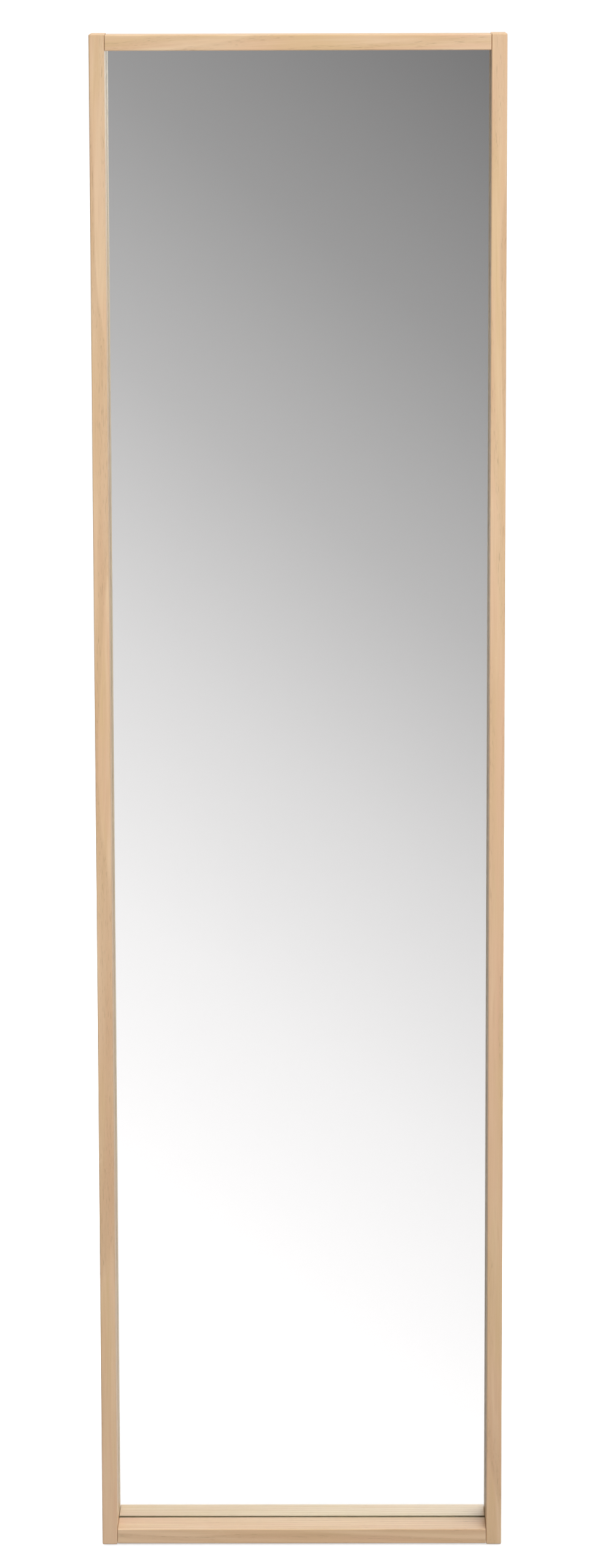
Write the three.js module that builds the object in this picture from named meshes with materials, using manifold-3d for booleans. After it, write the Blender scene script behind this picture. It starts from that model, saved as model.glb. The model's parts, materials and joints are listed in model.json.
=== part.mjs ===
// Full-length floor mirror: a narrow oak frame that leans back on a folding easel strut.
//
// Millimetres, +Z up, the mirror faces -Y. Two nested groups carry the design:
//   frame  - upright in its own space, front faces on y = 0, foot of the stiles on z = 0,
//            then leaned back about its front bottom edge;
//   strut  - the easel leg, built in the folded position around the hinge pin, then swung open.

import * as THREE from 'three';
import { mergeVertices } from 'three/addons/utils/BufferGeometryUtils.js';
import Module from 'manifold-3d';

const wasm = await Module();
wasm.setup();

// ---- driving dimensions ------------------------------------------------------------------

const WIDTH = 400;
const HEIGHT = 1500;
const STOCK = 15;              // face width of every frame member
const DEPTH = 50;              // front to back of every frame member
const RECESS = 38;             // front faces to the glass
const RAIL_SHY = 0.8;          // the rails stop this much short of the stile ends
const EASE = 1.2;              // radius of the eased arrises

const GROOVE = { width: 8, depth: 5 };
const GLASS = { thick: 4, inGroove: 4.5, ease: 0.4 };
const BACKING = { thick: 3, inGroove: 4.5, ease: 0.3 };
const GAP = 0.3;               // clearance between pieces that meet

const DOWEL = { radius: 3, length: 30, inStile: 10, chamfer: 0.8 };
const FRAME_DOWEL_Y = [10, 28];

const LEAN = THREE.MathUtils.degToRad(4.5);
const STRUT_OPEN = THREE.MathUtils.degToRad(11);
const STRUT_SLOPE = STRUT_OPEN - LEAN;          // the open legs from the vertical

const HINGE_RAIL = { length: 394, high: 50, thick: 12, abovePin: 35 };
const HINGE_RAIL_SCREW = { x: 194, z: [-5, 25] };       // heights from the pin
const PIN_HEIGHT = 1100;                        // up the back of the frame
const HINGE = {
  long: 50, x: 110, leaf: 20, thick: 1.5, round: 2,     // a leaf, and where the hinge is
  barrel: 2.5, knuckle: 16.4, free: 3.2,                // free: from the pin to the plain side of a leaf
  pin: 1.25, play: 0.08, dome: 0.5,
};
const HINGE_SCREW = { x: 16, out: 12 };

const LEG = { wide: 15, deep: 20, outer: 194, horn: 26, ease: 1 };
const LEG_FRONT = -2;                           // front face of the folded legs, from the pin
const TOP_BAR_HIGH = 45;
const LOWER_BAR = { high: 30, deep: 15, height: 230 };
const BAR_DOWEL_SPREAD = { top: 12, lower: 8 };

const SCREW_RIM = 0.3;
const WOOD_SCREW = { head: 3.5, shank: 1.75, length: 30, sink: 2.6, tip: 5 };
const SMALL_SCREW = { head: 2.6, shank: 1.4, length: 11, sink: 1.4, tip: 3 };
const GLIDE = { head: 5.5, thick: 1.2, soften: 0.4, peg: 1, pegLength: 12, y: [19, 38] };
const BUFFER = { head: 4, soften: 1, peg: 1.5, pegLength: 8, x: 192, z: 120 };
const FOOT_PAD = { head: 6, thick: 2.5, soften: 0.6, peg: 1.5, pegLength: 9 };

const SIDES = { left: -1, right: 1 };
const ROUND = { fine: 20, small: 12 };
const OVERCUT = 1;                              // how far a cutter passes the face it opens
const SLAB = 20;                                // thickness of the cutter that stands for the floor
const END_EASE = 0.8;                           // easing of a bar's ends, as a share of its arrises'
const WELD = 1e-4;                              // vertices nearer than this are one

// ---- worked out from them ----------------------------------------------------------------

const INSIDE = WIDTH / 2 - STOCK;               // half the clear width between the stiles
const SIGHT_LOW = RAIL_SHY + STOCK;             // top face of the bottom rail
const SIGHT_HIGH = HEIGHT - SIGHT_LOW;          // underside of the top rail
const GLASS_Y = RECESS + GAP + GLASS.thick / 2;
const BACKING_Y = RECESS + 2 * GAP + GLASS.thick + BACKING.thick / 2;
const STILE_X = WIDTH / 2 - STOCK / 2;
const FLOOR_GAP = GLIDE.thick + GAP;            // the frame stands on its glides
const HINGE_RAIL_BACK = DEPTH + GAP + HINGE_RAIL.thick;
const PIN_Y = HINGE_RAIL_BACK + GAP + HINGE.barrel;
const PIN_WORLD_Z = FLOOR_GAP + PIN_HEIGHT * Math.cos(LEAN) - PIN_Y * Math.sin(LEAN);
const LEG_X = LEG.outer - LEG.wide / 2;
const LEG_BACK = LEG_FRONT + LEG.deep;
const BAR_HALF = LEG.outer - LEG.wide - GAP;
const TOP_BAR_TOP = -HINGE.barrel - GAP;
const BUFFER_HIGH = PIN_Y + LEG_FRONT - DEPTH - 2 * GAP;

// ---- finishes ----------------------------------------------------------------------------

const finish = (color, roughness, metalness = 0) =>
  new THREE.MeshStandardMaterial({ color, roughness, metalness });

const OAK = finish(0xdcba96, 0.6);
const OAK_STRUT = finish(0xd6b28c, 0.65);
const BEECH = finish(0xd9b98f, 0.7);
const SILVERED_GLASS = finish(0xe8ecea, 0.03, 1);
const HARDBOARD = finish(0x7a5a3e, 0.85);
const ZINC = finish(0xb9bbbd, 0.35, 1);
const STEEL = finish(0xc8c6bf, 0.3, 1);
const NYLON = finish(0xe6e2d8, 0.5);
const RUBBER = finish(0x35332f, 0.8);

// ---- solids ------------------------------------------------------------------------------

function asSolid(geometry) {
  const bare = geometry.clone();
  bare.deleteAttribute('normal');
  bare.deleteAttribute('uv');
  const welded = mergeVertices(bare, WELD);
  const corners = welded.index.array;
  const triangles = [];
  for (let i = 0; i < corners.length; i += 3) {
    const [a, b, c] = corners.slice(i, i + 3);
    if (a !== b && b !== c && c !== a) triangles.push(a, b, c);
  }
  return new wasm.Manifold(new wasm.Mesh({
    numProp: 3,
    vertProperties: new Float32Array(welded.attributes.position.array),
    triVerts: new Uint32Array(triangles),
  }));
}

function asGeometry(solid) {
  const mesh = solid.getMesh();
  const geometry = new THREE.BufferGeometry();
  geometry.setAttribute('position', new THREE.BufferAttribute(mesh.vertProperties, 3));
  geometry.setIndex(new THREE.BufferAttribute(mesh.triVerts, 1));
  const flat = geometry.toNonIndexed();
  flat.computeVertexNormals();
  return flat;
}

/** Cuts tools out of a member; all of them are placed in the same group. */
function cut(member, ...tools) {
  member.updateMatrix();
  const toMember = member.matrix.clone().invert();
  let solid = asSolid(member.geometry);
  for (const tool of tools) {
    tool.updateMatrix();
    const move = toMember.clone().multiply(tool.matrix);
    solid = solid.subtract(asSolid(tool.geometry.clone().applyMatrix4(move)));
  }
  member.geometry = asGeometry(solid);
}

function box(wide, deep, high) {
  return new THREE.BoxGeometry(wide, deep, high);
}

function roundedOutline(wide, deep, radius) {
  const [x, y] = [wide / 2, deep / 2];
  const outline = new THREE.Shape();
  outline.moveTo(-x + radius, -y);
  outline.lineTo(x - radius, -y);
  outline.absarc(x - radius, -y + radius, radius, -Math.PI / 2, 0);
  outline.lineTo(x, y - radius);
  outline.absarc(x - radius, y - radius, radius, 0, Math.PI / 2);
  outline.lineTo(-x + radius, y);
  outline.absarc(-x + radius, y - radius, radius, Math.PI / 2, Math.PI);
  outline.lineTo(-x, -y + radius);
  outline.absarc(-x + radius, -y + radius, radius, Math.PI, 1.5 * Math.PI);
  return outline;
}

/** A planed bar along Z, centred, with every arris eased. */
function easedBar(wide, deep, long, ease = EASE) {
  const atEnds = END_EASE * ease;
  const bar = new THREE.ExtrudeGeometry(roundedOutline(wide, deep, ease), {
    depth: long - 2 * atEnds,
    curveSegments: 2,
    bevelSegments: 1,
    bevelThickness: atEnds,
    bevelSize: atEnds,
    bevelOffset: -atEnds,
  });
  return bar.translate(0, 0, atEnds - long / 2);
}

/** A planed bar along Z with eased long edges and square-cut ends, for an end that butts. */
function squareEndedBar(wide, deep, long) {
  const bar = new THREE.ExtrudeGeometry(roundedOutline(wide, deep, EASE), {
    depth: long,
    curveSegments: 2,
    bevelEnabled: false,
  });
  return bar.translate(0, 0, -long / 2);
}

const alongX = (geometry) => geometry.rotateY(Math.PI / 2);

/** A turned piece about Y from [radius, height] pairs given upwards. */
function turned(profile, segments = ROUND.small) {
  const points = profile.map(([radius, height]) => new THREE.Vector2(radius, height));
  return new THREE.LatheGeometry(points, segments);
}

const dowelShape = (grow) => {
  const [radius, half] = [DOWEL.radius + grow, DOWEL.length / 2 + grow];
  const [tip, shoulder] = [radius - DOWEL.chamfer, half - DOWEL.chamfer];
  return turned([[0, -half], [tip, -half], [radius, -shoulder],
    [radius, shoulder], [tip, half], [0, half]]);
};

/** A countersunk screw hanging down Y from its flush head. */
const screwShape = ({ head, shank, length, sink, tip }) => (grow) => turned([
  [0, -length - grow],
  [shank + grow, tip - length],
  [shank + grow, -sink],
  [head + grow, grow ? 0 : -SCREW_RIM],
  [head + grow, grow ? OVERCUT : 0],
  [0, grow ? OVERCUT : 0],
]);

/** A headed peg: the head hangs below the face, the peg goes up into it. */
const peggedShape = ({ head, soften, peg, pegLength }, thick) => (grow) => {
  const below = grow
    ? [[0, -OVERCUT], [peg + grow, -OVERCUT]]
    : [[0, -thick], [head - soften, -thick], [head, soften - thick], [head, 0], [peg, 0]];
  return turned([...below, [peg + grow, pegLength], [0, pegLength + peg + grow]]);
};

function piece(name, geometry, material, at = [0, 0, 0], turn = [0, 0, 0]) {
  const mesh = new THREE.Mesh(geometry, material);
  mesh.name = name;
  mesh.position.set(...at);
  mesh.rotation.set(...turn);
  return mesh;
}

/** Sets a fastener in a group and bores its seat in the members that hold it. */
function fit(group, name, shape, material, at, turn, members) {
  const cutter = piece('', shape(GAP), material, at, turn);
  for (const member of members) cut(member, cutter);
  group.add(piece(name, shape(0), material, at, turn));
}

const LYING_X = [0, 0, -Math.PI / 2];           // turns a piece's Y axis to +X
const OUT_OF_BACK = [0, 0, 0];                  // head up Y, the way out of the back
const OUT_OF_TOP = [Math.PI / 2, 0, 0];         // head up Z

// ---- mirror frame ------------------------------------------------------------------------

function stile(side) {
  const member = piece(`stile_${side}`, easedBar(STOCK, DEPTH, HEIGHT), OAK,
    [SIDES[side] * STILE_X, DEPTH / 2, HEIGHT / 2]);
  const grooveLong = SIGHT_HIGH - SIGHT_LOW + 2 * GROOVE.depth;
  const groove = piece('', box(2 * GROOVE.depth, GROOVE.width, grooveLong), OAK,
    [SIDES[side] * INSIDE, RECESS + GROOVE.width / 2, HEIGHT / 2]);
  cut(member, groove, floorCut(0));
  return member;
}

function rail(name, height, grooveSide) {
  const member = piece(name, alongX(squareEndedBar(STOCK, DEPTH, 2 * (INSIDE - GAP))), OAK,
    [0, DEPTH / 2, height]);
  const groove = piece('', box(WIDTH, GROOVE.width, 2 * GROOVE.depth), OAK,
    [0, RECESS + GROOVE.width / 2, height + grooveSide * STOCK / 2]);
  cut(member, groove);
  return member;
}

/** What the floor takes off the foot of the leaning frame, a given height above it. */
function floorCut(above) {
  const cutter = piece('', box(WIDTH + 2 * OVERCUT, 4 * DEPTH, SLAB), OAK, [0, 0, above], [LEAN, 0, 0]);
  cutter.position.y += SLAB / 2 * Math.sin(LEAN);
  cutter.position.z -= SLAB / 2 * Math.cos(LEAN);
  return cutter;
}

/** A sheet that stands in the groove all round. */
function panel(name, { thick, inGroove, ease }, y, material) {
  const wide = 2 * (INSIDE + inGroove);
  const high = SIGHT_HIGH - SIGHT_LOW + 2 * inGroove;
  return piece(name, easedBar(wide, thick, high, ease), material, [0, y, HEIGHT / 2]);
}

function hingeRail() {
  const { length, high, thick, abovePin } = HINGE_RAIL;
  return piece('hinge_rail', alongX(easedBar(high, thick, length)), OAK_STRUT,
    [0, DEPTH + GAP + thick / 2, PIN_HEIGHT + abovePin - high / 2]);
}

function addFrameDowels(frame, stiles, rails) {
  for (const [end, member] of Object.entries(rails)) {
    for (const [side, sign] of Object.entries(SIDES)) {
      FRAME_DOWEL_Y.forEach((y, i) => {
        const x = sign * (INSIDE + DOWEL.inStile - DOWEL.length / 2);
        fit(frame, `frame_dowel_${end}_${side}_${i + 1}`, dowelShape, BEECH,
          [x, y, member.position.z], LYING_X, [member, stiles[side]]);
      });
    }
  }
}

function addHingeRailScrews(frame, stiles, batten) {
  const shape = screwShape(WOOD_SCREW);
  for (const [side, sign] of Object.entries(SIDES)) {
    HINGE_RAIL_SCREW.z.forEach((z, i) => {
      fit(frame, `hinge_rail_screw_${side}_${i + 1}`, shape, STEEL,
        [sign * HINGE_RAIL_SCREW.x, HINGE_RAIL_BACK, PIN_HEIGHT + z], OUT_OF_BACK,
        [batten, stiles[side]]);
    });
  }
}

function addGlides(frame, stiles) {
  const shape = peggedShape(GLIDE, GLIDE.thick);
  for (const [side, sign] of Object.entries(SIDES)) {
    GLIDE.y.forEach((y, i) => {
      const at = [sign * STILE_X, y + GAP * Math.sin(LEAN), y * Math.tan(LEAN) - GAP * Math.cos(LEAN)];
      fit(frame, `glide_${side}_${i + 1}`, shape, NYLON, at, [Math.PI / 2 + LEAN, 0, 0], [stiles[side]]);
    });
  }
}

function addBuffers(frame, stiles) {
  const shape = peggedShape(BUFFER, BUFFER_HIGH);
  for (const [side, sign] of Object.entries(SIDES)) {
    fit(frame, `fold_buffer_${side}`, shape, RUBBER,
      [sign * BUFFER.x, DEPTH + GAP, BUFFER.z], [Math.PI, 0, 0], [stiles[side]]);
  }
}

// ---- hinges ------------------------------------------------------------------------------

/** Outline of a leaf in X and Z with its knuckle tabs on z = 0; inner tells which knuckles it has. */
function leafOutline(inner) {
  const { leaf: reach, free, round } = HINGE;
  const half = HINGE.long / 2;
  const knuckle = HINGE.knuckle / 2 + (inner ? 0 : GAP);
  const low = inner ? 0 : free;
  const high = inner ? free : 0;
  const outline = new THREE.Shape();
  outline.moveTo(-half, high);
  outline.lineTo(-knuckle, high);
  outline.lineTo(-knuckle, low);
  outline.lineTo(knuckle, low);
  outline.lineTo(knuckle, high);
  outline.lineTo(half, high);
  outline.lineTo(half, reach - round);
  outline.absarc(half - round, reach - round, round, 0, Math.PI / 2);
  outline.lineTo(-half + round, reach);
  outline.absarc(-half + round, reach - round, round, Math.PI / 2, Math.PI);
  return outline;
}

function barrel(from, to, radius) {
  const geometry = new THREE.CylinderGeometry(radius, radius, to - from, ROUND.fine);
  return geometry.rotateZ(Math.PI / 2).translate((from + to) / 2, 0, 0);
}

/** A leaf about the pin: the plate runs up Z and is tangent to the barrel on one face. */
function leafGeometry(inner) {
  const plate = new THREE.ExtrudeGeometry(leafOutline(inner), {
    depth: HINGE.thick, bevelEnabled: false, curveSegments: 4,
  });
  plate.rotateX(Math.PI / 2);                   // thickness to -Y, tabs on z = 0
  plate.translate(0, inner ? HINGE.barrel : HINGE.thick - HINGE.barrel, 0);
  const [edge, half] = [HINGE.knuckle / 2, HINGE.long / 2];
  const knuckles = inner ? [[-edge, edge]] : [[-half, -edge - GAP], [edge + GAP, half]];
  let solid = asSolid(plate);
  for (const [from, to] of knuckles) solid = solid.add(asSolid(barrel(from, to, HINGE.barrel)));
  const bore = barrel(-half - OVERCUT, half + OVERCUT, HINGE.pin + HINGE.play);
  return asGeometry(solid.subtract(asSolid(bore)));
}

function hingePin() {
  const half = HINGE.long / 2;
  const [radius, tip, shoulder] = [HINGE.pin, HINGE.pin - HINGE.dome, half - HINGE.dome];
  return turned([[0, -half], [tip, -half], [radius, -shoulder],
    [radius, shoulder], [tip, half], [0, half]], ROUND.fine);
}

function addHingeScrews(group, name, leaf, wood, place) {
  const shape = screwShape(SMALL_SCREW);
  [-1, 1].forEach((sign, i) => {
    const { at, turn } = place(sign * HINGE_SCREW.x);
    fit(group, `${name}_${i + 1}`, shape, STEEL, at, turn, [leaf, wood]);
  });
}

function addFrameLeaf(frame, side, batten) {
  const x = SIDES[side] * HINGE.x;
  const leaf = piece(`hinge_${side}_frame_leaf`, leafGeometry(false), ZINC, [x, PIN_Y, PIN_HEIGHT]);
  frame.add(leaf, piece(`hinge_${side}_pin`, hingePin(), STEEL, [x, PIN_Y, PIN_HEIGHT], LYING_X));
  addHingeScrews(frame, `hinge_${side}_frame_screw`, leaf, batten, (dx) => ({
    at: [x + dx, PIN_Y - HINGE.barrel + HINGE.thick, PIN_HEIGHT + HINGE_SCREW.out],
    turn: OUT_OF_BACK,
  }));
}

function addStrutLeaf(strut, side, topBar) {
  const x = SIDES[side] * HINGE.x;
  const leaf = piece(`hinge_${side}_strut_leaf`, leafGeometry(true), ZINC, [x, 0, 0],
    [-Math.PI / 2, 0, 0]);
  strut.add(leaf);
  addHingeScrews(strut, `hinge_${side}_strut_screw`, leaf, topBar, (dx) => ({
    at: [x + dx, HINGE_SCREW.out, HINGE.thick - HINGE.barrel],
    turn: OUT_OF_TOP,
  }));
}

// ---- easel strut, folded, about the hinge pin ----------------------------------------------

/** Side outline of a leg in Y and Z: bevelled horn on top, foot cut to the floor. */
function legOutline() {
  const stop = -HINGE.barrel;                   // the hinge rail's back, with its gap, when open
  const hornFront = stop / Math.cos(STRUT_OPEN) + LEG.horn * Math.tan(STRUT_OPEN);
  const bevelStart = (LEG_FRONT - stop / Math.cos(STRUT_OPEN)) / Math.tan(STRUT_OPEN);
  const footAt = (y) => (FOOT_PAD.thick + GAP - PIN_WORLD_Z - y * Math.sin(STRUT_SLOPE))
    / Math.cos(STRUT_SLOPE);
  const outline = new THREE.Shape();
  outline.moveTo(LEG_FRONT, footAt(LEG_FRONT));
  outline.lineTo(LEG_BACK, footAt(LEG_BACK));
  outline.lineTo(LEG_BACK, LEG.horn);
  outline.lineTo(hornFront, LEG.horn);
  outline.lineTo(LEG_FRONT, bevelStart);
  return outline;
}

function leg(side) {
  const geometry = new THREE.ExtrudeGeometry(legOutline(), {
    depth: LEG.wide - 2 * LEG.ease,
    bevelThickness: LEG.ease,
    bevelSize: LEG.ease,
    bevelOffset: -LEG.ease,
    bevelSegments: 1,
  });
  geometry.translate(0, 0, LEG.ease - LEG.wide / 2);
  geometry.rotateZ(Math.PI / 2).rotateY(Math.PI / 2);   // outline X, Y to leg Y, Z
  return piece(`strut_leg_${side}`, geometry, OAK_STRUT, [SIDES[side] * LEG_X, 0, 0]);
}

function strutBar(name, high, deep, middle) {
  return piece(name, alongX(squareEndedBar(high, deep, 2 * BAR_HALF)), OAK_STRUT,
    [0, (LEG_FRONT + LEG_BACK) / 2, middle]);
}

function addStrutDowels(strut, legs, bars) {
  for (const [name, bar] of Object.entries(bars)) {
    for (const [side, sign] of Object.entries(SIDES)) {
      [-1, 1].forEach((up, i) => {
        const x = sign * (BAR_HALF + DOWEL.inStile - DOWEL.length / 2);
        const z = bar.position.z + up * BAR_DOWEL_SPREAD[name];
        fit(strut, `strut_dowel_${name}_${side}_${i + 1}`, dowelShape, BEECH,
          [x, bar.position.y, z], LYING_X, [bar, legs[side]]);
      });
    }
  }
}

function addFootPads(strut, legs) {
  const shape = peggedShape(FOOT_PAD, FOOT_PAD.thick);
  const y = (LEG_FRONT + LEG_BACK) / 2;
  const z = (FOOT_PAD.thick - PIN_WORLD_Z - y * Math.sin(STRUT_SLOPE)) / Math.cos(STRUT_SLOPE);
  for (const [side, sign] of Object.entries(SIDES)) {
    fit(strut, `foot_pad_${side}`, shape, RUBBER, [sign * LEG_X, y, z],
      [Math.PI / 2 - STRUT_SLOPE, 0, 0], [legs[side]]);
  }
}

function buildStrut() {
  const strut = new THREE.Group();
  const legs = { left: leg('left'), right: leg('right') };
  const lowerMiddle = (LOWER_BAR.height - PIN_WORLD_Z) / Math.cos(STRUT_SLOPE);
  const bars = {
    top: strutBar('strut_top_bar', TOP_BAR_HIGH, LEG.deep, TOP_BAR_TOP - TOP_BAR_HIGH / 2),
    lower: strutBar('strut_lower_bar', LOWER_BAR.high, LOWER_BAR.deep, lowerMiddle),
  };
  strut.add(legs.left, legs.right, bars.top, bars.lower);
  addStrutDowels(strut, legs, bars);
  addFootPads(strut, legs);
  for (const side of Object.keys(SIDES)) addStrutLeaf(strut, side, bars.top);
  strut.position.set(0, PIN_Y, PIN_HEIGHT);
  strut.rotation.x = STRUT_OPEN;
  return strut;
}

function buildFrame() {
  const frame = new THREE.Group();
  const stiles = { left: stile('left'), right: stile('right') };
  const rails = {
    top: rail('rail_top', HEIGHT - RAIL_SHY - STOCK / 2, -1),
    bottom: rail('rail_bottom', RAIL_SHY + STOCK / 2, 1),
  };
  cut(rails.bottom, floorCut(RAIL_SHY));
  const batten = hingeRail();
  frame.add(stiles.left, stiles.right, rails.top, rails.bottom, batten);
  frame.add(panel('mirror_glass', GLASS, GLASS_Y, SILVERED_GLASS));
  frame.add(panel('backing_board', BACKING, BACKING_Y, HARDBOARD));
  addFrameDowels(frame, stiles, rails);
  addHingeRailScrews(frame, stiles, batten);
  addGlides(frame, stiles);
  addBuffers(frame, stiles);
  for (const side of Object.keys(SIDES)) addFrameLeaf(frame, side, batten);
  frame.add(buildStrut());
  frame.rotation.x = -LEAN;
  frame.position.z = FLOOR_GAP;
  return frame;
}

/** Stands the mirror with the middle of its footprint over the origin. */
function standOnOrigin(frame) {
  const mirror = new THREE.Group();
  mirror.add(frame);
  mirror.updateMatrixWorld(true);
  const bounds = new THREE.Box3().setFromObject(mirror, true);
  frame.position.y -= (bounds.min.y + bounds.max.y) / 2;
  frame.position.z -= bounds.min.z;
  mirror.updateMatrixWorld(true);
  return mirror;
}

export default standOnOrigin(buildFrame());
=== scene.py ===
import json
import math

import bmesh
import bpy
from mathutils import Matrix, Vector

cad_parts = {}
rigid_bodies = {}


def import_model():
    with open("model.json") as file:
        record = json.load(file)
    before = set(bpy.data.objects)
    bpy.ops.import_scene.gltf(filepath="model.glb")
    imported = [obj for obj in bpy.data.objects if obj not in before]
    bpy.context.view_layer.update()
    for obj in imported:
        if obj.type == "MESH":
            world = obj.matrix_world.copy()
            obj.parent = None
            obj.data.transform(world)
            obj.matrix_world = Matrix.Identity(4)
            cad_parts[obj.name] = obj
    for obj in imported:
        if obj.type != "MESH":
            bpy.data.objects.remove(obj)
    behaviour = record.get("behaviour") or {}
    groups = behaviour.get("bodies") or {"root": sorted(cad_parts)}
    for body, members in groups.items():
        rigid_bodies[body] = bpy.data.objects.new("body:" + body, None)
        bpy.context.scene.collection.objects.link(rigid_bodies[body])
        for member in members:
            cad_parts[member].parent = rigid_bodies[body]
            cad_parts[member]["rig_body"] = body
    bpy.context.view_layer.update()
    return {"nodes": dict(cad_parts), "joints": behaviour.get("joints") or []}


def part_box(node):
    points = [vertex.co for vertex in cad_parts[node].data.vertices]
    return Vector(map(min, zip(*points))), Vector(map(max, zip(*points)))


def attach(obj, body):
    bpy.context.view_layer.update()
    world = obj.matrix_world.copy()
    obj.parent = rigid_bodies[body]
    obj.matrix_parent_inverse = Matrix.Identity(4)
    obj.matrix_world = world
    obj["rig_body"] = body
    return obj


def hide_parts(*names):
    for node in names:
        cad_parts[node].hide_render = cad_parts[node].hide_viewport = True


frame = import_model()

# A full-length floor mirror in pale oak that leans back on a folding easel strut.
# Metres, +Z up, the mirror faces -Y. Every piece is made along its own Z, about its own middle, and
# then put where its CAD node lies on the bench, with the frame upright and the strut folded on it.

SCENE = bpy.context.scene
MM = 0.001

# ---- sizes that the frame doesn't say ----------------------------------------------------------

FRAME_EASE = 1.2 * MM           # radius of the softened arrises
STRUT_EASE = 1.6 * MM
BUTT_EASE = 0.6 * MM            # of the ends that meet another piece
GLASS_EASE = 0.4 * MM
BOARD_EASE = 0.3 * MM
GROOVE_WIDE = 8 * MM
GROOVE_DEEP = 5 * MM
CLEAR = 0.3 * MM                # room between pieces that meet
BARREL = 2.5 * MM               # radius of the hinge knuckles
KNUCKLE_HALF = 8.2 * MM         # of the middle knuckle
LEAF_THICK = 1.5 * MM
LEAF_ROUND = 2 * MM
LEAF_FREE = 3.2 * MM            # from the pin to the side of a leaf that has no knuckle
PIN_PLAY = 0.08 * MM
OVERCUT = 1 * MM
POINT = 0.05 * MM               # radius of what comes to a point
SIDES = {"left": -1, "right": 1}

# ---- the bench ---------------------------------------------------------------------------------


def middle(node):
    low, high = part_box(node)
    return (low + high) / 2


def lean_of_the_frame():
    """The frame's lean, from two dowels that are one above the other on the bench."""
    rise = middle("frame_dowel_top_left_1") - middle("frame_dowel_bottom_left_1")
    return math.atan2(rise.y, rise.z)


LEAN = lean_of_the_frame()
OPEN = math.radians(-frame["joints"][0]["range_deg"][0])
SLOPE = OPEN - LEAN                                     # of the open legs
PIN = (middle("hinge_left_pin") + middle("hinge_right_pin")) / 2
TURNS = {
    "mirror_frame": Matrix.Translation(PIN) @ Matrix.Rotation(-LEAN, 4, "X"),
    "strut": Matrix.Translation(PIN) @ Matrix.Rotation(SLOPE, 4, "X"),
}


def body_of(node):
    return frame["nodes"][node]["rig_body"]


def on_bench(node):
    """Lowest and highest corner of a CAD node on the bench, from the hinge pin."""
    back = TURNS[body_of(node)].inverted()
    points = [back @ v.co for v in frame["nodes"][node].data.vertices]
    low = Vector(min(p[i] for p in points) for i in range(3))
    high = Vector(max(p[i] for p in points) for i in range(3))
    return low, high


def bench_middle(node):
    low, high = on_bench(node)
    return (low + high) / 2


def bench_size(node):
    low, high = on_bench(node)
    return high - low


UPRIGHT = Matrix.Identity(4)
ALONG_X = Matrix.Rotation(math.pi / 2, 4, "Y")          # a piece's own Z to +X
OUT_OF_BACK = Matrix.Rotation(-math.pi / 2, 4, "X")     # a piece's own Z to +Y
INTO_BACK = Matrix.Rotation(math.pi / 2, 4, "X")        # a piece's own Z to -Y, its Y to +Z


def put(piece, node, local=UPRIGHT, at=None):
    """Sets a piece down where its CAD node is, or at another bench place of that node's body."""
    place = bench_middle(node) if at is None else Vector(at)
    piece.matrix_world = TURNS[body_of(node)] @ Matrix.Translation(place) @ local
    return piece


INSIDE, RAIL_FRONT, _ = on_bench("stile_right")[0]      # half the clear width of the frame
OUTSIDE, FRAME_BACK, FRAME_TOP = on_bench("stile_right")[1]
SIGHT_HIGH = on_bench("rail_top")[0].z                  # underside of the top rail
SIGHT_LOW = on_bench("rail_bottom")[1].z                # top face of the bottom rail
FRAME_FOOT = SIGHT_LOW + SIGHT_HIGH - FRAME_TOP         # the frame is the same above and below
GROOVE_AT = on_bench("mirror_glass")[0].y - CLEAR + GROOVE_WIDE / 2
BATTEN_BACK = on_bench("hinge_rail")[1].y
STILES_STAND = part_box("stile_left")[0].z                # over the floor
LEGS_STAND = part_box("strut_leg_left")[0].z

# ---- camera ------------------------------------------------------------------------------------

EYE_BACK = 4.9733               # from the front of the frame, square to it
EYE_UP = 1.6376                 # from the frame's foot, along the frame
EYE_ASIDE = 0.0289
LOOK_DOWN = math.radians(9.85)  # from square to the mirror
LOOK_LEFT = math.radians(0.376)
ROLL = math.radians(0.156)
HALF_HEIGHT = 0.15181           # of the view, over its distance


def make_camera():
    data = bpy.data.cameras.new("camera")
    data.sensor_fit = "VERTICAL"
    data.sensor_height = 36
    data.lens = data.sensor_height / 2 / HALF_HEIGHT
    data.clip_end = 100
    camera = bpy.data.objects.new("camera", data)
    SCENE.collection.objects.link(camera)
    eye = Matrix.Translation((EYE_ASIDE, RAIL_FRONT - EYE_BACK, FRAME_FOOT + EYE_UP))
    gaze = (Matrix.Rotation(LOOK_LEFT, 4, "Z") @ Matrix.Rotation(-LOOK_DOWN, 4, "X")
            @ Matrix.Rotation(ROLL, 4, "Y"))
    ahead = Matrix.Rotation(math.pi / 2, 4, "X")        # a camera looks down its own -Z
    camera.matrix_world = TURNS["mirror_frame"] @ eye @ gaze @ ahead
    SCENE.camera = camera


make_camera()

# ---- shader maths ------------------------------------------------------------------------------


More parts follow.
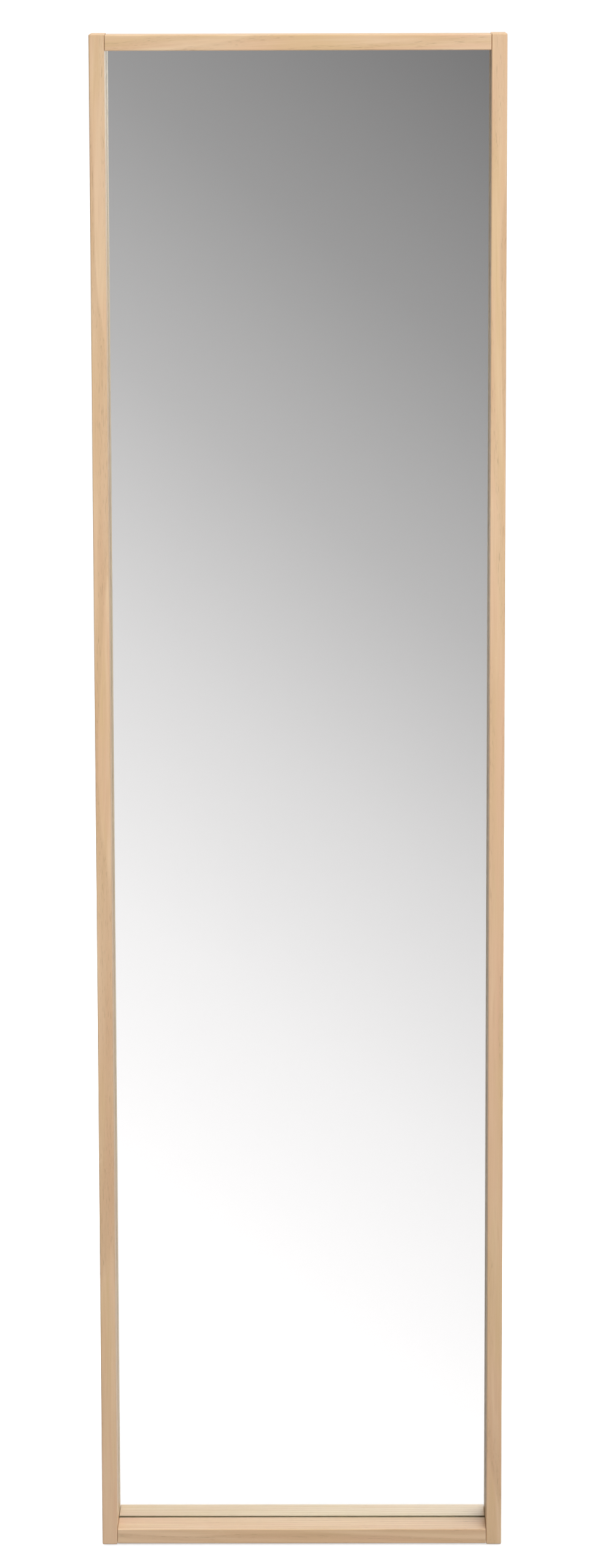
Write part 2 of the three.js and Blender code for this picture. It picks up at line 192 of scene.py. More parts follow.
class Wire:
    """An output socket. Sums, products and powers of wires add the nodes for them."""

    def __init__(self, socket):
        self.socket = socket

    def node(self, kind, sockets, out=0, stops=(), **settings):
        """Adds a node: its settings and stops first, then the values or wires of its sockets."""
        made = self.socket.id_data.nodes.new(kind)
        for name, value in settings.items():
            setattr(made, name, value)
        for i, (place, shade) in enumerate(stops):
            elements = made.color_ramp.elements
            stop = elements[i] if i < len(elements) else elements.new(place)
            stop.position = place
            stop.color = (*shade, 1)
        for name, value in sockets.items():
            if isinstance(value, Wire):
                self.socket.id_data.links.new(value.socket, made.inputs[name])
            else:
                made.inputs[name].default_value = value
        return Wire(made.outputs[out])

    def maths(self, operation, first, second=0.0):
        return self.node("ShaderNodeMath", {0: first, 1: second}, operation=operation)

    def __add__(self, other):
        return self.maths("ADD", self, other)

    def __radd__(self, other):
        return self.maths("ADD", other, self)

    def __sub__(self, other):
        return self.maths("SUBTRACT", self, other)

    def __rsub__(self, other):
        return self.maths("SUBTRACT", other, self)

    def __mul__(self, other):
        return self.maths("MULTIPLY", self, other)

    def __rmul__(self, other):
        return self.maths("MULTIPLY", other, self)

    def __truediv__(self, other):
        return self.maths("DIVIDE", self, other)

    def __pow__(self, other):
        return self.maths("POWER", self, other)

    def whole(self):
        return self.maths("FLOOR", self)

    def fraction(self):
        return self.maths("FRACT", self)

    def size(self):
        return self.maths("ABSOLUTE", self)

    def least(self, other):
        return self.maths("MINIMUM", self, other)

    def most(self, other):
        return self.maths("MAXIMUM", self, other)

    def rise(self, low, high):
        """0 below low, 1 above high, and a soft rise between them."""
        return self.node("ShaderNodeMapRange", {0: self, 1: low, 2: high},
                         interpolation_type="SMOOTHSTEP")

    def mix(self, without, with_it):
        """One colour where this is 0, and the other where it is 1."""
        ends = [(*c, 1) if isinstance(c, tuple) else c for c in (without, with_it)]
        return self.node("ShaderNodeMix", {0: self, 6: ends[0], 7: ends[1]}, out=2,
                         data_type="RGBA")

    def stretched(self, *scale, by=(0, 0, 0)):
        """This vector times scale, plus by."""
        return self.node("ShaderNodeVectorMath", {0: self, 1: scale, 2: by},
                         operation="MULTIPLY_ADD")

    def noise(self, detail=2.0, rough=0.5, bend=0.0):
        """Fractal noise over this vector, about 0.5."""
        return self.node("ShaderNodeTexNoise", {"Vector": self, "Scale": 1.0, "Detail": detail,
                                                "Roughness": rough, "Distortion": bend})

    def parts(self):
        return [self.node("ShaderNodeSeparateXYZ", {0: self}, out=i) for i in range(3)]


def new_finish(name, **steady):
    """A shader with what is the same all over set on it, and the piece's own place."""
    material = bpy.data.materials.new(name)
    material.use_nodes = True
    shader = material.node_tree.nodes["Principled BSDF"]
    for socket, value in steady.items():
        shader.inputs[socket.replace("_", " ")].default_value = value
    place = material.node_tree.nodes.new("ShaderNodeTexCoord")
    return material, shader, Wire(place.outputs["Object"])


def feed(shader, **wires):
    for socket, wire in wires.items():
        shader.id_data.links.new(wire.socket, shader.inputs[socket.replace("_", " ")])


def raised(height, deep, strength):
    """A normal for a surface that stands up by height times deep."""
    return height.node("ShaderNodeBump", {"Strength": strength, "Distance": deep, "Height": height})


def edge_wear(place, radius):
    """1 on the softened arrises and 0 on the flats."""
    rounded = place.node("ShaderNodeBevel", {"Radius": radius}, samples=4)
    flat = place.node("ShaderNodeNewGeometry", {}, out=1)
    agree = place.node("ShaderNodeVectorMath", {0: rounded, 1: flat}, out=1,
                       operation="DOT_PRODUCT")
    return 1 - agree.rise(0.86, 0.995)


# ---- finishes ----------------------------------------------------------------------------------

STRAW = (0.770, 0.530, 0.325)
CREAM = (0.850, 0.630, 0.415)
TAN = (0.580, 0.365, 0.200)
BLUSH = (0.790, 0.500, 0.325)
HONEY = (0.730, 0.515, 0.268)
PORE = (0.360, 0.220, 0.120)
YEAR = 5.2 * MM                 # width of a growth ring


def oak(name, seed, heart, slant, pale=0.6):
    """Pale oiled oak, with the grain along the piece's own Z.

    heart is where the middle of the log lies from the middle of the piece, slant how far the
    grain runs across the piece over its length, and pale how much of the wood is cream.
    """
    material, shader, place = new_finish(name, IOR=1.48)
    x, y, z = place.parts()
    log = place.stretched(9, 9, 1.8, by=(seed, seed * 3, seed * 7))
    drift = log.noise() - 0.5
    quiver = log.stretched(7, 7, 4).noise(3) - 0.5
    across = x + z * slant + drift * 0.02 + heart[0]
    through = y + z * slant * 0.3 + drift * 0.03 + heart[1]
    grain = place.node("ShaderNodeCombineXYZ", {0: across, 1: through, 2: z + seed * 2})
    years = ((across * across + through * through) ** 0.5 + quiver * 0.0016) / YEAR
    season = years.fraction()
    spring = season.rise(0.0, 0.16) * (1 - season.rise(0.2, 0.85))
    year = log.node("ShaderNodeTexWhiteNoise", {"W": years.whole() + seed}, noise_dimensions="1D")
    fibre = grain.stretched(900, 900, 16).noise(3, 0.6)
    streak = grain.stretched(110, 110, 4).noise(3, 0.6)
    cloud = grain.stretched(70, 70, 6).noise()
    dash = grain.stretched(520, 520, 24).noise(1).rise(0.60, 0.72)
    pore = grain.stretched(2300, 2300, 75).noise(1).rise(0.62, 0.72) * spring.rise(0.15, 0.8)
    ray = grain.stretched(210, 700, 120).noise(2, 0.45, 0.4).rise(0.66, 0.78)
    wear = edge_wear(place, 1.6 * MM)

    colour = cloud.rise(0.34, 0.66).mix(BLUSH, HONEY)
    colour = (0.25 + year * 0.5).mix(colour, STRAW)
    colour = (streak.rise(0.35, 0.7) * pale).mix(colour, CREAM)
    colour = (spring * (0.14 + year * 0.26)).mix(colour, TAN)
    colour = (ray * 0.2).mix(colour, CREAM)
    colour = (fibre.rise(0.3, 0.75) * 0.12).mix(colour, TAN)
    colour = (dash * 0.14).mix(colour, TAN)
    colour = (pore * 0.5).mix(colour, PORE)
    colour = (wear * 0.15).mix(colour, CREAM)
    height = fibre * 0.5 - pore * 1.2 - spring * 0.35 + ray * 0.2
    feed(shader, Base_Color=colour, Roughness=0.34 + fibre * 0.14 + pore * 0.2 - wear * 0.06,
         Normal=raised(height, 0.06 * MM, 0.55))
    return material


def beech():
    """Close-grained beech with short flecks, as dowel rod is, with the grain along its own Z."""
    material, shader, place = new_finish("beech_dowel_rod", IOR=1.46)
    fleck = place.stretched(1500, 1500, 500).noise().rise(0.56, 0.7)
    tone = place.stretched(160, 160, 8).noise(3)
    fibre = place.stretched(1100, 1100, 30).noise(3, 0.6)
    colour = tone.mix((0.68, 0.46, 0.28), (0.80, 0.60, 0.40))
    colour = (fleck * 0.5).mix(colour, (0.45, 0.26, 0.14))
    feed(shader, Base_Color=colour, Roughness=0.55 + fibre * 0.2,
         Normal=raised(fibre - fleck * 0.5, 0.06 * MM, 0.5))
    return material


def float_glass():
    """Clear float glass with a breath of dust on it."""
    material, shader, place = new_finish("float_glass", IOR=1.52, Transmission_Weight=1.0)
    dust = place.stretched(7, 7, 7).noise(5, 0.65).rise(0.45, 0.85)
    colour = dust.mix((0.935, 0.990, 0.985), (0.927, 0.982, 0.978))
    feed(shader, Base_Color=colour, Roughness=dust * 0.004)
    return material


def silvering(size):
    """Silver on the back of the glass, dulled to a hair's breadth along its rim."""
    material, shader, place = new_finish("silvering", Metallic=1.0)
    x, _, z = place.parts()
    inset = (size.x / 2 - x.size()).least(size.z / 2 - z.size())
    creep = place.stretched(300, 300, 300).noise(4, 0.6).rise(0.4, 0.7)
    dulled = (1 - inset.rise(0.4 * MM, 2.5 * MM)) * creep
    colour = dulled.mix((0.905, 0.935, 0.925), (0.30, 0.27, 0.22))
    feed(shader, Base_Color=colour, Roughness=dulled * 0.3 + 0.001)
    return material


def hardboard():
    """Pressed wood fibre: brown and mottled, with a burnished face."""
    material, shader, place = new_finish("hardboard", IOR=1.45)
    mottle = place.stretched(30, 30, 30).noise(4, 0.6)
    fibre = place.stretched(620, 620, 260).noise(4, 0.7, 0.8)
    fleck = place.stretched(900, 900, 400).noise(2, 0.5, 0.6).rise(0.63, 0.72)
    colour = mottle.rise(0.3, 0.7).mix((0.195, 0.105, 0.053), (0.230, 0.129, 0.068))
    colour = (fibre.rise(0.35, 0.75) * 0.5).mix(colour, (0.125, 0.062, 0.030))
    colour = (fleck * 0.6).mix(colour, (0.38, 0.25, 0.15))
    feed(shader, Base_Color=colour, Roughness=0.42 + fibre * 0.3,
         Normal=raised(fibre, 0.08 * MM, 0.5))
    return material


def zinc_plate(name, tint, rough):
    """Bright zinc over drawn steel: fine lines, a clouded bloom and rubbed edges."""
    material, shader, place = new_finish(name, Metallic=1.0)
    lines = place.stretched(60, 2600, 2600).noise(2, 0.6)
    cloud = place.stretched(240, 240, 240).noise(4, 0.6)
    spangle = place.node("ShaderNodeTexVoronoi", {"Vector": place, "Scale": 900.0}, out=1)
    shade = spangle.parts()[0]
    wear = edge_wear(place, 0.4 * MM)
    colour = cloud.rise(0.3, 0.7).mix(tint, (0.70, 0.69, 0.62))
    colour = (shade * 0.18).mix(colour, (0.50, 0.52, 0.55))
    colour = (wear * 0.6).mix(colour, (0.86, 0.86, 0.85))
    feed(shader, Base_Color=colour, Roughness=rough + cloud * 0.16 + shade * 0.05 - wear * 0.08,
         Normal=raised(lines, 0.02 * MM, 0.35))
    return material


def nylon():
    """Moulded nylon, scuffed where it slides."""
    material, shader, place = new_finish("glide_nylon", IOR=1.53)
    grain = place.stretched(900, 900, 900).noise(3, 0.6)
    scuff = place.stretched(90, 1400, 90).noise(3, 0.6).rise(0.55, 0.7)
    colour = (scuff * 0.4).mix((0.76, 0.73, 0.66), (0.50, 0.47, 0.42))
    feed(shader, Base_Color=colour, Roughness=0.42 + scuff * 0.25,
         Normal=raised(grain, 0.03 * MM, 0.4))
    return material


def rubber():
    """Soft dark rubber with bloom and dust in its grain."""
    material, shader, place = new_finish("pad_rubber", IOR=1.5)
    grain = place.stretched(1300, 1300, 1300).noise(3, 0.6)
    bloom = place.stretched(140, 140, 140).noise(4, 0.6).rise(0.4, 0.75)
    colour = (bloom * 0.5).mix((0.024, 0.023, 0.022), (0.080, 0.076, 0.070))
    feed(shader, Base_Color=colour, Roughness=0.72 + bloom * 0.18,
         Normal=raised(grain, 0.06 * MM, 0.6))
    return material


# ---- mesh work ---------------------------------------------------------------------------------


def rounded_outline(wide, deep, radius, steps):
    """Points round a rectangle with round corners, anticlockwise."""
    points = []
    for corner, (sx, sy) in enumerate([(1, -1), (1, 1), (-1, 1), (-1, -1)]):
        for k in range(steps + 1):
            a = math.pi / 2 * (corner - 1 + k / steps)
            x = sx * (wide / 2 - radius) + radius * math.cos(a)
            y = sy * (deep / 2 - radius) + radius * math.sin(a)
            points.append((x, y))
    return points


def join_rings(bm, rings):
    """Faces between rings of as many points, and a cap on the first and the last."""
    rows = [[bm.verts.new(point) for point in ring] for ring in rings]
    for low, high in zip(rows, rows[1:]):
        for i in range(len(low)):
            j = (i + 1) % len(low)
            bm.faces.new((low[i], low[j], high[j], high[i]))
    bm.faces.new(reversed(rows[0]))
    bm.faces.new(rows[-1])


def smooth(piece):
    """Smooth shading but across edges of more than 32 degrees."""
    for face in piece.data.polygons:
        face.use_smooth = True
    piece.data.set_sharp_from_angle(angle=math.radians(32))


def made(name, bm, *materials):
    """The mesh as an object of those finishes."""
    bmesh.ops.remove_doubles(bm, verts=bm.verts, dist=1e-7)
    bmesh.ops.recalc_face_normals(bm, faces=bm.faces)
    mesh = bpy.data.meshes.new(name)
    bm.to_mesh(mesh)
    bm.free()
    for material in materials:
        mesh.materials.append(material)
    piece = bpy.data.objects.new(name, mesh)
    SCENE.collection.objects.link(piece)
    smooth(piece)
    return piece


def bar(name, wide, deep, long, ease, *materials, end_ease=None, steps=6):
    """A planed bar along its own Z with softened arrises. Its ends may be softened less."""
    end = ease if end_ease is None else end_ease
    turn = [math.pi / 2 * k / steps for k in range(steps + 1)]
    low_end = [(0.98 * end * (1 - math.sin(a)), end * (1 - math.cos(a)) - long / 2) for a in turn]
    rings = []
    for inset, height in low_end + [(inset, -height) for inset, height in reversed(low_end)]:
        outline = rounded_outline(wide - 2 * inset, deep - 2 * inset, ease - inset, steps)
        rings.append([(x, y, height) for x, y in outline])
    bm = bmesh.new()
    join_rings(bm, rings)
    return made(name, bm, *materials)


def plate(name, outline, thick, ease, *materials, all_edges=False, steps=3):
    """A plate cut to an outline in its own X and Y, centred on Z, with softened rims."""
    bm = bmesh.new()
    face = bm.faces.new([bm.verts.new((x, y, -thick / 2)) for x, y in outline])
    grown = bmesh.ops.extrude_face_region(bm, geom=[face])["geom"]
    bmesh.ops.translate(bm, vec=(0, 0, thick),
                        verts=[v for v in grown if isinstance(v, bmesh.types.BMVert)])
    bmesh.ops.recalc_face_normals(bm, faces=bm.faces)
    edges = [e for e in bm.edges
             if all_edges or abs(e.verts[0].co.z - e.verts[1].co.z) < thick / 2]
    bmesh.ops.bevel(bm, geom=edges, offset=ease, segments=steps, profile=0.5, affect="EDGES")
    return made(name, bm, *materials)


def even(a, height):
    return 1.0


def turned(name, profile, *materials, segments=48, shape=even):
    """A piece turned about its own Z from (radius, height) points. shape scales the radius."""
    turns = [2 * math.pi * k / segments for k in range(segments)]
    rings = []
    for radius, height in profile:
        reach = [(radius * shape(a, height), a) for a in turns]
        rings.append([(r * math.cos(a), r * math.sin(a), height) for r, a in reach])
    bm = bmesh.new()
    join_rings(bm, rings)
    return made(name, bm, *materials)


def soft_rim(radius, height, soft, steps=5):
    """Profile points from the side of a turned piece over its rim to the top."""
    turn = [math.pi / 2 * k / steps for k in range(steps + 1)]
    return [(radius - soft * (1 - math.cos(a)), height - soft * (1 - math.sin(a))) for a in turn]


def cut(piece, *tools, operation="DIFFERENCE"):
    """Cuts the tools out of a piece, or joins them to it, and takes them away."""
    bpy.context.view_layer.update()
    for tool in tools:
        step = piece.modifiers.new("cut", "BOOLEAN")
        step.operation = operation
        step.solver = "EXACT"
        step.object = tool
    shaped = piece.evaluated_get(bpy.context.evaluated_depsgraph_get())
    piece.data = bpy.data.meshes.new_from_object(shaped)
    piece.modifiers.clear()
    for tool in tools:
        bpy.data.objects.remove(tool)
    smooth(piece)
    return piece


def trim_foot(piece, above=0.0):
    """Cuts a leaning piece level, at that height over the foot of the stiles."""
    to_piece = piece.matrix_world.inverted()
    bm = bmesh.new()
    bm.from_mesh(piece.data)
    sawn = bmesh.ops.bisect_plane(
        bm, geom=bm.verts[:] + bm.edges[:] + bm.faces[:], clear_outer=True,
        plane_co=to_piece @ Vector((0, 0, STILES_STAND + above)),
        plane_no=to_piece.to_3x3() @ Vector((0, 0, -1)))["geom_cut"]
    bmesh.ops.contextual_create(bm, geom=[e for e in sawn if isinstance(e, bmesh.types.BMEdge)])
    bm.to_mesh(piece.data)
    bm.free()
    smooth(piece)


def shown(node):
    """The name of the piece that is shown for a CAD node."""
    return node + "_shown"


def keep(piece):
    """Evens the shading of the flats, and lets the piece stand for its CAD node."""
    node = piece.name.removesuffix("_shown")
    piece.modifiers.new("even flats", "WEIGHTED_NORMAL").keep_sharp = True
    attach(piece, body_of(node))
    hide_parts(node)


# ---- fixings -----------------------------------------------------------------------------------
# Each one is made twice: larger by grow, to cut its own hole, and then at its own size.


def dowel(node, grow=0.0, *materials):
    """A fluted dowel with chamfered ends."""
    size = bench_size(node)
    radius = size.y / 2 + grow
    half = size.x / 2 + grow
    chamfer = 0.9 * MM
    profile = [(radius - chamfer, -half), (radius, chamfer - half),
               (radius, half - chamfer), (radius - chamfer, half)]
    if grow:
        return put(turned("tool", profile), node, ALONG_X)

    def flutes(a, height):
        return 0.97 + 0.03 * math.cos(12 * a)

    return put(turned(shown(node), profile, *materials, segments=96, shape=flutes), node, ALONG_X)


def screw_seat(node):
    """A screw's head radius and length, which way it lies, and the middle of its head."""
    low, high = on_bench(node)
    size = high - low
    at = (low + high) / 2
    if body_of(node) == "strut":
        at.z = high.z
        return size.x / 2, size.z, UPRIGHT, at
    at.y = high.y
    return size.x / 2, size.y, OUT_OF_BACK, at


def screw(node, grow=0.0, *materials):
    """A countersunk wood screw with a cross recess."""
    head, long, local, at = screw_seat(node)
    shank = head / 2
    tip = shank * 2.5
    sink = head - shank
    if grow:
        profile = [(POINT, -long - grow), (shank + grow, tip - long), (shank + grow, -sink - grow),
                   (head + grow, 0), (head + grow, OVERCUT)]
        return put(turned("tool", profile), node, local, at)
    pitch = shank * 0.8
    smooth_from = -0.35 * long
    steps = int((long + smooth_from) / pitch * 4)
    heights = [-long + (long + smooth_from) * i / steps for i in range(steps + 1)]
    profile = [(max(POINT, shank * min(1, (h + long) / tip)), h) for h in heights]
    profile += [(shank * 0.85, smooth_from + pitch), (shank * 0.85, -sink), (head, -0.3 * MM)]
    profile += [(head, -0.1 * MM), (head - 0.1 * MM, 0)]

    def thread(a, height):
        if height > smooth_from:
            return 1.0
        return 0.78 + 0.22 * abs(2 * ((height / pitch + a / (2 * math.pi)) % 1) - 1)

    piece = put(turned(shown(node), profile, *materials, segments=32, shape=thread), node, local, at)
    deep = sink * 1.1
    half = head * 0.62
    outline = [(-half, OVERCUT), (-half, 0), (-half / 4, -deep), (half / 4, -deep), (half, 0),
               (half, OVERCUT)]
    slots = []
    for k in range(2):
        blade = plate("tool", outline, head * 0.26, 0.02 * MM, steps=1)
        turn = local @ Matrix.Rotation(math.pi / 2 * k, 4, "Z") @ INTO_BACK
        slots.append(put(blade, node, turn, at))
    return cut(piece, *slots)


def pegged(node, thick, soft, grow=0.0, *materials):
    """A soft-rimmed head against the wood, and a barbed peg up its own Z into it.

    Glides and foot pads stand upright whichever way their wood leans. Buffers lie on the bench.
    """
    lying = node.startswith("fold_buffer")
    low, high = on_bench(node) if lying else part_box(node)
    at = (low + high) / 2
    radius = (high.x - low.x) / 2
    long = (high.y - low.y if lying else high.z - low.z) - thick
    peg = 1.0 * MM if node.startswith("glide") else 1.5 * MM
    if grow:
        name = "tool"
        profile = [(peg + grow, -OVERCUT), (peg + grow, long), (POINT, long + grow)]
    else:
        name = shown(node)
        rim = [(r, -h) for r, h in reversed(soft_rim(radius, thick, soft))]
        barbs = [(peg * (0.8 if i % 2 else 1.0), long * (i + 1) / 8) for i in range(6)]
        profile = rim + [(radius, 0), (peg, 0)] + barbs + [(peg * 0.8, long * 0.9), (POINT, long)]
    piece = turned(name, profile, *materials)
    if lying:
        at.y = high.y - thick
        return put(piece, node, INTO_BACK, at)
    at.z = low.z + thick
    piece.matrix_world = Matrix.Translation(at)
    return piece


def glide(node, grow=0.0, *materials):
    return pegged(node, STILES_STAND - CLEAR, 0.4 * MM, grow, *materials)


def foot_pad(node, grow=0.0, *materials):
    return pegged(node, LEGS_STAND - CLEAR, 0.7 * MM, grow, *materials)


def buffer(node, grow=0.0, *materials):
    return pegged(node, on_bench(node)[1].y - FRAME_BACK - CLEAR, 1.2 * MM, grow, *materials)


def holes(make, *nodes):
    """What cuts the holes for these fixings."""
    return [make(node, CLEAR) for node in nodes]


def pair(name):
    return [f"{name}_1", f"{name}_2"]


# ---- the mirror frame --------------------------------------------------------------------------


def groove(node, wide, long, at):
    """A cutter for the groove that holds the glass and its backing."""
    return put(bar("tool", wide, GROOVE_WIDE, long, 0.2 * MM, steps=2), node, UPRIGHT, at)


def make_stile(side, wood):
    node = f"stile_{side}"
    size = bench_size(node)
    at = bench_middle(node)
    at.z = (FRAME_TOP + FRAME_FOOT) / 2
    piece = bar(shown(node), size.x, size.y, FRAME_TOP - FRAME_FOOT, FRAME_EASE, wood)
    put(piece, node, UPRIGHT, at)
    slot_long = SIGHT_HIGH - SIGHT_LOW + 2 * GROOVE_DEEP
    slot = groove(node, 2 * GROOVE_DEEP, slot_long, (SIDES[side] * INSIDE, GROOVE_AT, at.z))
    cut(piece, slot,
        *holes(dowel, *pair(f"frame_dowel_top_{side}"), *pair(f"frame_dowel_bottom_{side}")),
        *holes(screw, *pair(f"hinge_rail_screw_{side}")),
        *holes(glide, *pair(f"glide_{side}")),
        *holes(buffer, f"fold_buffer_{side}"))
    trim_foot(piece)
    keep(piece)


def make_rail(end, wood):
    node = f"rail_{end}"
    size = bench_size(node)
    high = FRAME_TOP - SIGHT_HIGH if end == "top" else SIGHT_LOW - FRAME_FOOT
    shy = FRAME_TOP - on_bench("rail_top")[1].z
    face = SIGHT_HIGH if end == "top" else SIGHT_LOW
    away = 1 if end == "top" else -1
    at = bench_middle(node)
    at.z = face + away * (high - shy) / 2
    piece = bar(shown(node), high - shy, size.y, size.x, FRAME_EASE, wood, end_ease=BUTT_EASE)
    put(piece, node, ALONG_X, at)
    cut(piece, groove(node, 2 * OUTSIDE, 2 * GROOVE_DEEP, (0, GROOVE_AT, face)),
        *holes(dowel, *pair(f"frame_dowel_{end}_left"), *pair(f"frame_dowel_{end}_right")))
    if end == "bottom":
        trim_foot(piece, shy)
    keep(piece)


def make_glass():
    """One sheet: clear in front and round the edge, silvered behind."""
    size = bench_size("mirror_glass")
    piece = bar(shown("mirror_glass"), size.x, size.y, size.z, GLASS_EASE, float_glass(),
                silvering(size), steps=3)
    put(piece, "mirror_glass")
    for face in piece.data.polygons:
        if face.normal.y > 0.9:
            face.material_index = 1
    keep(piece)


def make_backing():
    size = bench_size("backing_board")
    piece = bar(shown("backing_board"), size.x, size.y, size.z, BOARD_EASE, hardboard(), steps=3)
    keep(put(piece, "backing_board"))


def make_hinge_rail(wood):
    size = bench_size("hinge_rail")
    piece = bar(shown("hinge_rail"), size.z, size.y, size.x, STRUT_EASE, wood)
    put(piece, "hinge_rail", ALONG_X)
    for side in SIDES:
        cut(piece, *holes(screw, *pair(f"hinge_rail_screw_{side}"),
                          *pair(f"hinge_{side}_frame_screw")))
    keep(piece)


# ---- the strut ---------------------------------------------------------------------------------

SIDE_ON = Matrix(((0, 0, 1, 0), (1, 0, 0, 0), (0, 1, 0, 0), (0, 0, 0, 1)))  # X to Y, Y to Z


def leg_outline(node):
    """Side view of a leg, in the bench's Y and Z: bevelled horn on top, foot cut level."""
    low, high = on_bench(node)
    stop = (BATTEN_BACK + CLEAR) / math.cos(OPEN)       # the horn meets the hinge rail there
    horn_front = stop + high.z * math.tan(OPEN)
    bevel_from = (low.y - stop) / math.tan(OPEN)
    foot = [(LEGS_STAND - PIN.z - y * math.sin(SLOPE)) / math.cos(SLOPE) for y in (low.y, high.y)]
    return [(low.y, foot[0]), (high.y, foot[1]), (high.y, high.z), (horn_front, high.z),
            (low.y, bevel_from)]


def make_leg(side, wood):
    node = f"strut_leg_{side}"
    at = bench_middle(node)
    outline = [(y - at.y, z - at.z) for y, z in leg_outline(node)]
    piece = plate(shown(node), outline, bench_size(node).x, STRUT_EASE, wood, all_edges=True,
                  steps=5)
    piece.data.transform(SIDE_ON)
    put(piece, node)
    cut(piece, *holes(foot_pad, f"foot_pad_{side}"))
    for place in ("top", "lower"):
        cut(piece, *holes(dowel, *pair(f"strut_dowel_{place}_{side}")))
    keep(piece)


def make_strut_bar(place, wood):
    node = f"strut_{place}_bar"
    size = bench_size(node)
    piece = bar(shown(node), size.z, size.y, size.x, STRUT_EASE, wood, end_ease=BUTT_EASE)
    put(piece, node, ALONG_X)
    for side in SIDES:
        cut(piece, *holes(dowel, *pair(f"strut_dowel_{place}_{side}")))
        if place == "top":
            cut(piece, *holes(screw, *pair(f"hinge_{side}_strut_screw")))
    keep(piece)


# ---- hinges ------------------------------------------------------------------------------------


def leaf_outline(half, reach, inner):
    """A leaf in its own X and Y, with the pin on y = 0. inner has the middle knuckle."""
    knuckle = KNUCKLE_HALF + (0 if inner else CLEAR)
    middle_from = 0 if inner else LEAF_FREE
    ends_from = LEAF_FREE if inner else 0
    points = [(-half, ends_from), (-knuckle, ends_from), (-knuckle, middle_from),
              (knuckle, middle_from), (knuckle, ends_from), (half, ends_from)]
    for side, start in ((1, 0), (-1, 1)):
        for k in range(5):
            a = math.pi / 2 * (start + k / 4)
            points.append((side * (half - LEAF_ROUND) + LEAF_ROUND * math.cos(a),
                           reach - LEAF_ROUND + LEAF_ROUND * math.sin(a)))
    return points


def knuckle(node, start, end, radius, at):
    """A barrel or a bore along the pin, from start to end of its own middle."""
    half = (end - start) / 2
    soft = 0.15 * MM
    top = soft_rim(radius, half, soft, 3)
    profile = [(r, -h) for r, h in reversed(top)] + top
    return put(turned("tool", profile, segments=64), node, ALONG_X,
               at + Vector(((start + end) / 2, 0, 0)))


def make_leaf(side, body, zinc):
    node = f"hinge_{side}_{body}_leaf"
    inner = body == "strut"
    low, high = on_bench(node)
    half = (high.x - low.x) / 2
    pin = Vector(((low.x + high.x) / 2, 0, 0))
    reach = high.y if inner else high.z
    lift = LEAF_THICK / 2 - BARREL
    at = pin + Vector((0, 0, lift) if inner else (0, lift, 0))
    piece = plate(shown(node), leaf_outline(half, reach, inner), LEAF_THICK, 0.18 * MM, zinc)
    put(piece, node, UPRIGHT if inner else INTO_BACK, at)
    edge = KNUCKLE_HALF
    spans = [(-edge, edge)] if inner else [(-half, -edge - CLEAR), (edge + CLEAR, half)]
    barrels = [knuckle(node, start, end, BARREL, pin) for start, end in spans]
    cut(piece, *barrels, operation="UNION")
    bore = knuckle(node, -half - OVERCUT, half + OVERCUT,
                   bench_size(f"hinge_{side}_pin").y / 2 + PIN_PLAY, pin)
    cut(piece, bore, *holes(screw, *pair(f"hinge_{side}_{body}_screw")))
    keep(piece)


def make_pin(side, steel):
    node = f"hinge_{side}_pin"
    size = bench_size(node)
    dome = soft_rim(size.y / 2, size.x / 2, size.y * 0.3)
    profile = [(r, -h) for r, h in reversed(dome)] + dome
    piece = turned(shown(node), profile, steel, segments=64)
    keep(put(piece, node, ALONG_X))


# ---- the whole mirror --------------------------------------------------------------------------


def make_fixings(make, slot_name, material, *nodes):
    for node in nodes:
        keep(make(node, 0.0, material))


def make_mirror():
    make_stile("left", oak("oak_stile_left", 1.0, (-0.012, 0.085), -0.012, 0.75))
    make_stile("right", oak("oak_stile_right", 2.3, (0.014, 0.08), 0.014))
    make_rail("top", oak("oak_rail_top", 13.7, (0.02, 0.08), 0.03, 1.0))
    make_rail("bottom", oak("oak_rail_bottom", 4.7, (0.03, 0.07), -0.03, 0.8))
    make_glass()
    make_backing()
    make_hinge_rail(oak("oak_hinge_rail", 5.9, (0.02, -0.06), 0.05))


def make_strut():
    make_leg("left", oak("oak_leg_left", 6.4, (0.05, 0.05), 0.02))
    make_leg("right", oak("oak_leg_right", 7.8, (-0.05, 0.06), -0.02))
    make_strut_bar("top", oak("oak_strut_top_bar", 8.3, (0.03, 0.05), 0.03))
    make_strut_bar("lower", oak("oak_strut_lower_bar", 9.6, (0.03, -0.06), -0.03))


def make_hardware():
    zinc = zinc_plate("hinge_zinc", (0.66, 0.67, 0.68), 0.26)
    steel = zinc_plate("screw_steel", (0.72, 0.71, 0.68), 0.22)
    beech_rod = beech()
    glide_nylon = nylon()
    pad_rubber = rubber()
    for side in SIDES:
        make_leaf(side, "frame", zinc)
        make_leaf(side, "strut", zinc)
        make_pin(side, steel)
        make_fixings(screw, "screw_steel", steel, *pair(f"hinge_rail_screw_{side}"),
                     *pair(f"hinge_{side}_frame_screw"), *pair(f"hinge_{side}_strut_screw"))
        make_fixings(dowel, "dowel_beech", beech_rod,
                     *pair(f"frame_dowel_top_{side}"), *pair(f"frame_dowel_bottom_{side}"),
                     *pair(f"strut_dowel_top_{side}"), *pair(f"strut_dowel_lower_{side}"))
        make_fixings(glide, "glide_nylon", glide_nylon, *pair(f"glide_{side}"))
        make_fixings(foot_pad, "pad_rubber", pad_rubber, f"foot_pad_{side}")
        make_fixings(buffer, "pad_rubber", pad_rubber, f"fold_buffer_{side}")


# ---- studio ------------------------------------------------------------------------------------

